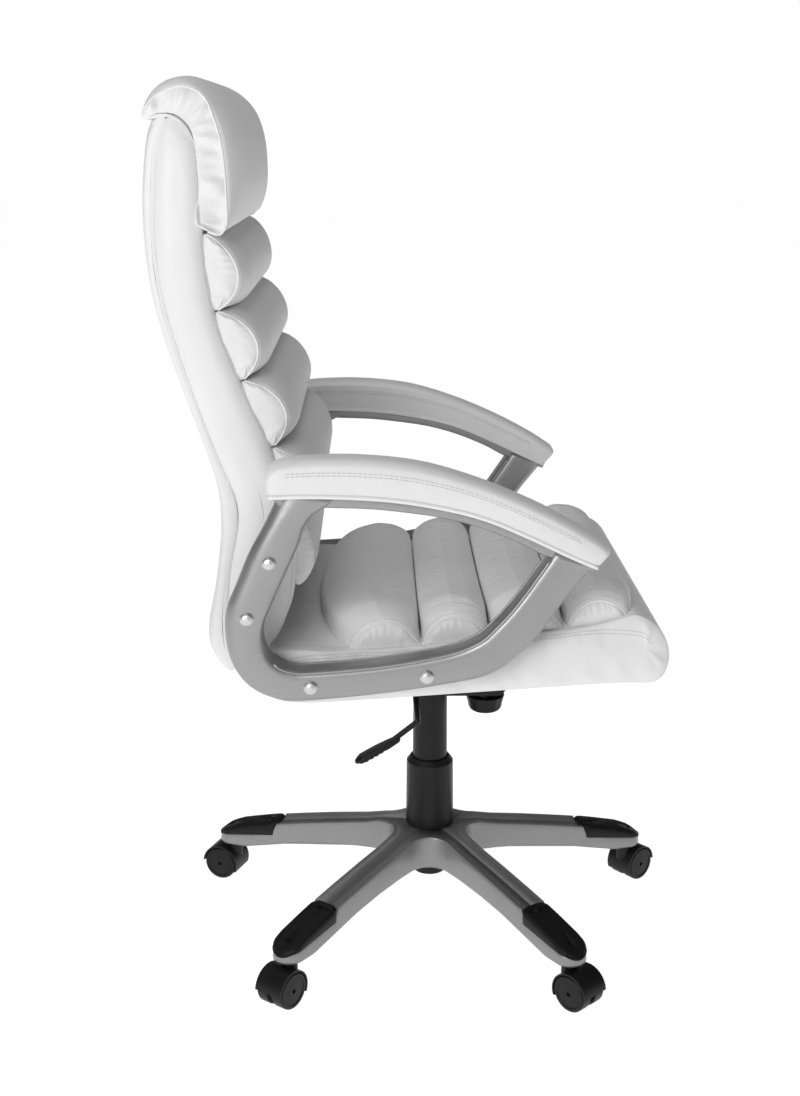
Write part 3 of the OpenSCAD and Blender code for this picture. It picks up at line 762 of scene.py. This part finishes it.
for side, name in ((1, "right"), (-1, "left")):
    shift = pad_x * side

    def pad_place(v, shift=shift):
        return v + Vector((shift, 0, 0))

    pad = pillow(f"arm_pad_cover_{name}", pad_edge, pad_mid, pad_spine, 0.0285, 0.020, 0.0015,
                 (f"arm_pad_{name}",), stations=18, rings=5, place=pad_place,
                 cap_move=0.0015)
    arm_pads.append(pad)

simulate(cloths)
for piece, _ in cloths:
    subdivide(piece)

# ---------- seams, piping and stitches ----------

PIPE_R = 0.0012
for roll in back_rolls + seat_rolls:
    tree = surface_of(roll)
    for which, side in ((-1, "near"), (1, "far")):
        tube(f"{roll.name}_piping_{side}",
             even(ring_path(roll, which, 0, 2, FRONT_END - 2), 60), PIPE_R, PIPING, *COVER)
        stitches(f"{roll.name}_stitches_{side}", [ring_path(roll, which, 2, 3, FRONT_END - 3)],
                 tree)

tree = surface_of(headrest)
for which, side in ((-1, "near"), (1, "far")):
    tube(f"headrest_piping_{side}",
         even(ring_path(headrest, which, 0, 1, HEAD_FRONT - 2), 110), PIPE_R, PIPING, *COVER)
    stitches(f"headrest_stitches_{side}", [ring_path(headrest, which, 2, 2, HEAD_FRONT - 3)],
             tree)

PAD_PIPE_R = 0.0030
PAD_SEAM_X = 0.0282  # from a pad's middle
for pad, side, name in zip(arm_pads, (1, -1), ("right", "left")):
    tree = surface_of(pad)
    under, top = even(pad_under, 70), even(pad_top[12:-14][::-1], 70)
    for face in (-1, 1):
        where = "outside" if face * side < 0 else "inside"
        x = pad_x * side + face * PAD_SEAM_X
        seam = [in_space(p + Vector((0, 0.0014)), x) for p in under]
        tube(f"arm_pad_piping_{name}_{where}", seam, PAD_PIPE_R, PIPING, *COVER)
        rows = [[in_space(a.lerp(b, share), x + face * 0.004) for a, b in zip(under, top)][2:-3]
                for share in (0.60, 0.68)]
        stitches(f"arm_pad_stitches_{name}_{where}", rows, tree)

skirt_line = smooth(mm([(184, 484), (147, 489), (110, 492), (23, 495), (-60, 504), (-151, 515),
                        (-200, 519), (-250, 515), (-266, 504)]), 6)
tree = surface_of(seat_base)
for which, side in ((-1, "near"), (1, "far")):
    rows = [[in_space(p - Vector((0, drop)), which * 0.268) for p in skirt_line]
            for drop in (0.0, 0.005)]
    stitches(f"seat_base_stitches_{side}", rows, tree)

tree = surface_of(side_panels)
for which, side in ((-1, "near"), (1, "far")):
    stitches(f"back_side_stitches_{side}",
             [ring_path(side_panels, which, -1, 3, PANEL_FRONT - 2)], tree)

# ---------- arms ----------

arm_outer = mm([(190, 704), (194, 697), (211, 662), (229, 629), (245, 591), (257, 562),
                (260, 537), (257, 506), (247, 480), (230, 460), (205, 447), (173, 442),
                (75, 451), (-12, 464), (-60, 475), (-95, 499), (-123, 530), (-152, 572),
                (-178, 605), (-186, 615)])
arm_inner = mm([(124, 697), (134, 688), (150, 679), (162, 662), (168, 643), (185, 605),
                (200, 572), (211, 546), (214, 526), (209, 507), (201, 496), (191, 488),
                (177, 484), (158, 483), (74, 490), (-5, 504), (-44, 519), (-64, 536),
                (-90, 566), (-115, 602), (-128, 622), (-134, 632)])
rail_under = mm([(190, 688), (142, 686), (85, 684), (38, 679), (-6, 672), (-49, 660),
                 (-93, 642), (-128, 624), (-184, 606)])
rail_top = mm([(200, 700), (150, 702), (90, 700), (38, 694), (-6, 687), (-49, 675),
               (-97, 656), (-138, 636), (-188, 613)])
ARM_X = -0.298
ARM_HALF_W = 0.020
RAIL_HALF_W = 0.016
BEAD_R = 0.0017
SPACER_R = 0.011
SPACER_ENDS = (-0.282, -0.2475)
BOLT_PLACES = mm([(204, 620), (232, 551), (157, 464), (16, 477)])
BAR_SIDES = 40
ARM_STATIONS = 120


def edge_pairs(outer, inner, count):
    """Facing points of a bar's two side edges."""
    return list(zip(even(smooth(outer, 8), count), even(smooth(inner, 8), count)))


def bar(name, outer, inner, x, half_w, power, outer_power, count, replaced=()):
    """A bar between two side edges, with a squarish rounded section of its own on either
    edge."""
    rings = []
    for o, i in edge_pairs(outer, inner, count):
        middle, reach = (o + i) / 2, (o - i) / 2
        ring = []
        for k in range(BAR_SIDES):
            angle = math.tau * k / BAR_SIDES
            c, s = math.cos(angle), math.sin(angle)
            squareness = power if s < 0 else outer_power
            across = math.copysign(abs(c) ** (2 / squareness), c)
            along = math.copysign(abs(s) ** (2 / squareness), s)
            p = middle + reach * along
            ring.append(Vector((x + half_w * across, p[0], p[1])))
        rings.append(ring)
    new_piece(name, *loft(rings), SILVER, "seat", "silver_paint", replaced)


for side, name in ((1, "right"), (-1, "left")):
    x = ARM_X * side
    bar(f"arm_loop_{name}", arm_outer, arm_inner, x, ARM_HALF_W, 5.0, 2.7, ARM_STATIONS,
        (f"arm_frame_{name}",))
    bar(f"arm_rail_{name}", rail_top, rail_under, x, RAIL_HALF_W, 5, 5, 60)
    for face in (-1, 1):
        where = "outside" if face * side < 0 else "inside"
        bead = [in_space(o.lerp(i, 0.965), x + face * (ARM_HALF_W - 0.0020))
                for o, i in edge_pairs(arm_outer, arm_inner, ARM_STATIONS)][44:-2]
        tube(f"arm_bead_{name}_{where}", bead, BEAD_R, SILVER, "seat", "silver_paint")
    verts, faces = [], []
    for place in BOLT_PLACES:
        spacer = [in_space(place, side * end) for end in SPACER_ENDS]
        add_to(verts, faces, loft(tube_rings(spacer, SPACER_R, 32)))
    new_piece(f"arm_spacers_{name}", verts, faces, SILVER, "seat", "silver_paint")

# ---------- star base ----------

LEG_ANGLES = [math.radians(-2 + 72 * k) for k in range(5)]
BISECTOR = math.radians(36)
TIP_R = 0.315
TIP_STEPS, SIDE_STEPS, FILLET_STEPS = 8, 34, 9
leg_top = mm([(0, 141), (30, 140), (47, 139), (73, 136), (100, 130), (150, 122), (200, 113),
              (239, 105.5), (243, 90), (280, 82), (340, 74)])
leg_bottom = mm([(0, 93), (30, 93), (100, 92), (150, 88), (200, 81), (240, 72), (290, 61),
                 (340, 61)])


def leg_half_plan(w_root, w_tip, fillet):
    """Half of a leg's plan from its tip in to the bisector: (along the leg, across) points."""
    apart = (w_root + fillet) / math.sin(BISECTOR)
    foot = apart * math.cos(BISECTOR)
    out = [Vector((TIP_R + w_tip * math.cos(math.pi / 2 * k / TIP_STEPS),
                   w_tip * math.sin(math.pi / 2 * k / TIP_STEPS))) for k in range(TIP_STEPS)]
    for k in range(SIDE_STEPS + 1):
        t = k / SIDE_STEPS
        out.append(Vector((TIP_R + (foot - TIP_R) * t, w_tip + (w_root - w_tip) * t)))
    c = Vector((foot, w_root + fillet))
    for k in range(1, FILLET_STEPS + 1):
        a = math.radians(-90 - 54 * k / FILLET_STEPS)
        out.append(c + fillet * Vector((math.cos(a), math.sin(a))))
    return out


def star_points(w_root, w_tip, fillet):
    """The star's plan outline: each point in its leg's own plan, and the turn of that leg."""
    half = leg_half_plan(w_root, w_tip, fillet)
    leg = [Vector((p[0], -p[1])) for p in half[::-1]][:-1] + half[:-1]
    return [(p, Matrix.Rotation(angle, 3, "Z")) for angle in LEG_ANGLES for p in leg]


def star_ring(w_root, w_tip, fillet, height):
    """One ring round the whole star, at a height that depends on the place along the leg."""
    return [turn @ Vector((p[0], p[1], height(p[0])))
            for p, turn in star_points(w_root, w_tip, fillet)]


def top_at(drop):
    return lambda r: height_at(leg_top, r) - drop


def spine_ring(rise):
    """The star's ridge: each outline point brought in to its leg's middle line."""
    ring = []
    for p, turn in star_points(0.019, 0.0185, 0.034):
        r = min(p[0], TIP_R)
        off = 0.0005 * (1 if p[1] > 0 else -1)
        ring.append(turn @ Vector((r, off, height_at(leg_top, r) + rise)))
    return ring


levels = [
    star_ring(0.0190, 0.0190, 0.034, lambda r: height_at(leg_bottom, r) + 0.004),
    star_ring(0.0215, 0.0215, 0.0315, lambda r: height_at(leg_bottom, r)),
    star_ring(0.0222, 0.0220, 0.0308, lambda r: height_at(leg_bottom, r) + 0.003),
    star_ring(0.0205, 0.0215, 0.0325, top_at(0.008)),
    star_ring(0.0198, 0.0212, 0.0332, top_at(0.0022)),
    star_ring(0.0192, 0.0206, 0.0338, top_at(0.0006)),
    star_ring(0.0182, 0.0196, 0.0348, top_at(0)),
    star_ring(0.0172, 0.0188, 0.0358, top_at(0.0007)),
    star_ring(0.0120, 0.0130, 0.0410, top_at(0.0021)),
    spine_ring(-0.0027),
]
HUB_TOP, HUB_BOTTOM = Vector((0, 0, 0.138)), Vector((0, 0, 0.097))
new_piece("star_base_casting", *solid_levels(levels, HUB_TOP, HUB_BOTTOM), SILVER_BASE, "base",
          "silver_paint", ("star_base",))

cap_top_line = mm([(232, 107.8), (240, 106.6), (270, 99.8), (305, 91), (325, 83), (338, 75.5)])
cap_rim_line = mm([(232, 88), (280, 82), (338, 74)])
CAP_START = 0.2345
CAP_HALF_W = 0.0222
CAP_CORNER_R = 0.013
CAP_MIDDLE = 0.28
CAP_UNDER_Z = 0.084


def cap_plan(inset):
    """Plan outline of a leg cap: rounded corners towards the hub, round at the tip."""
    w = CAP_HALF_W - inset
    r = CAP_CORNER_R - inset * 0.5
    out = [Vector((CAP_START + inset + r - r * math.sin(a), w - r + r * math.cos(a)))
           for a in (math.pi / 2 * k / 10 for k in range(10, -1, -1))]
    out += [Vector((CAP_START + r + (TIP_R - CAP_START - r) * k / 14, w)) for k in range(1, 15)]
    out += [Vector((TIP_R + w * math.sin(a), w * math.cos(a)))
            for a in (math.pi / 2 * k / 12 for k in range(1, 13))]
    return out + [Vector((p[0], -p[1])) for p in out[::-1]][1:]


def cap_ring(inset, turn, height):
    return [turn @ Vector((p[0], p[1], height(p[0]))) for p in cap_plan(inset)]


def cap_ridge(turn):
    """The cap's middle line, with a point for each point of the plan."""
    return [turn @ Vector((min(max(p[0], CAP_START + 0.014), TIP_R),
                           math.copysign(0.0004, p[1]),
                           height_at(cap_top_line, p[0]) + 0.0010)) for p in cap_plan(0.0120)]


for k, angle in enumerate(LEG_ANGLES):
    turn = Matrix.Rotation(angle, 3, "Z")
    rings = [
        cap_ring(0.0010, turn, lambda r: height_at(cap_rim_line, r)),
        cap_ring(0.0, turn, lambda r: height_at(cap_rim_line, r) + 0.0004),
        cap_ring(0.0002, turn, lambda r: height_at(cap_top_line, r) - 0.006),
        cap_ring(0.0010, turn, lambda r: height_at(cap_top_line, r) - 0.0024),
        cap_ring(0.0026, turn, lambda r: height_at(cap_top_line, r) - 0.0006),
        cap_ring(0.0050, turn, lambda r: height_at(cap_top_line, r)),
        cap_ring(0.0100, turn, lambda r: height_at(cap_top_line, r) + 0.0007),
        cap_ridge(turn),
    ]
    middle = turn @ Vector((CAP_MIDDLE, 0, height_at(cap_top_line, CAP_MIDDLE) + 0.001))
    under = turn @ Vector((CAP_MIDDLE, 0, CAP_UNDER_Z))
    new_piece(f"leg_end_cap_{k + 1}", *solid_levels(rings, middle, under), CAP, "base",
              "black_plastic", (f"leg_cap_{k + 1}",))

# ---------- tension knob and lever grip ----------

knob_low, knob_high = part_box("tension_knob")
knob_x, knob_y = (knob_low[0] + knob_high[0]) / 2, (knob_low[1] + knob_high[1]) / 2
knob_r, knob_h = (knob_high[0] - knob_low[0]) / 2, knob_high[2] - knob_low[2]
knob_profile = smooth([Vector(p) for p in (
    (0.05, 0.0), (0.30, 0.01), (0.55, 0.05), (0.72, 0.13), (0.80, 0.24), (0.86, 0.50),
    (0.93, 0.80), (0.97, 0.96), (0.95, 1.0), (0.90, 1.0), (0.87, 0.90), (0.84, 0.30))], 3)
KNOB_SIDES = 96
KNOB_FLUTES = 12
knob_rings = []
for r, z in knob_profile:
    ring = []
    for k in range(KNOB_SIDES):
        a = math.tau * k / KNOB_SIDES
        flute = 1 + 0.016 * math.cos(KNOB_FLUTES * a) * min(max((z - 0.15) * 4, 0), 1)
        ring.append(Vector((knob_x + r * knob_r * flute * math.cos(a),
                            knob_y + r * knob_r * flute * math.sin(a),
                            knob_low[2] + z * knob_h)))
    knob_rings.append(ring)
knob_verts, knob_faces = loft(knob_rings, caps=False)
knob_faces.append(tuple(range(KNOB_SIDES))[::-1])
new_piece("tension_knob_cup", knob_verts, knob_faces, BLACK, "knob", "black_plastic",
          ("tension_knob",))

GRIP_ROOT = Vector((-0.180, 0.046, 0.343))
GRIP_TIP = Vector((-0.190, 0.106, 0.312))
grip_along = (GRIP_TIP - GRIP_ROOT).normalized()
grip_side = grip_along.cross(Vector((0, 0, 1))).normalized()
grip_up = grip_side.cross(grip_along)
grip_length = (GRIP_TIP - GRIP_ROOT).length
GRIP_STATIONS = 48
GRIP_SIDES = 32
GRIP_HALF_W, GRIP_HALF_H = 0.0102, 0.0056
GRIP_LEAST = 0.0002  # half size of its closed ends
grip_rings = []
for k in range(GRIP_STATIONS + 1):
    t = k / GRIP_STATIONS
    swell = 0.62 + 0.38 * math.sin(math.pi / 2 * min(t * 1.6, 1))
    ends = min(1, (max(t, 0.0) / 0.05) ** 0.5) * min(1, (max(1 - t, 0) / 0.16) ** 0.5)
    half_w = GRIP_HALF_W * swell * ends + GRIP_LEAST
    half_h = GRIP_HALF_H * swell * ends + GRIP_LEAST
    scallop = 0.0011 * math.sin(t * math.tau * 4.5) ** 2 * (1 if 0.3 < t < 0.95 else 0)
    spot = GRIP_ROOT + grip_along * (grip_length * t)
    ring = []
    for m in range(GRIP_SIDES):
        a = math.tau * m / GRIP_SIDES
        c, v = math.cos(a), math.sin(a)
        across = math.copysign(abs(c) ** 0.75, c) * half_w
        up = math.copysign(abs(v) ** 0.75, v) * half_h
        ring.append(spot + grip_side * across + grip_up * (up + (scallop if up < 0 else 0)))
    grip_rings.append(ring)
new_piece("lever_grip_paddle", *loft(grip_rings), BLACK, "lever", "black_plastic",
          ("lever_grip",))
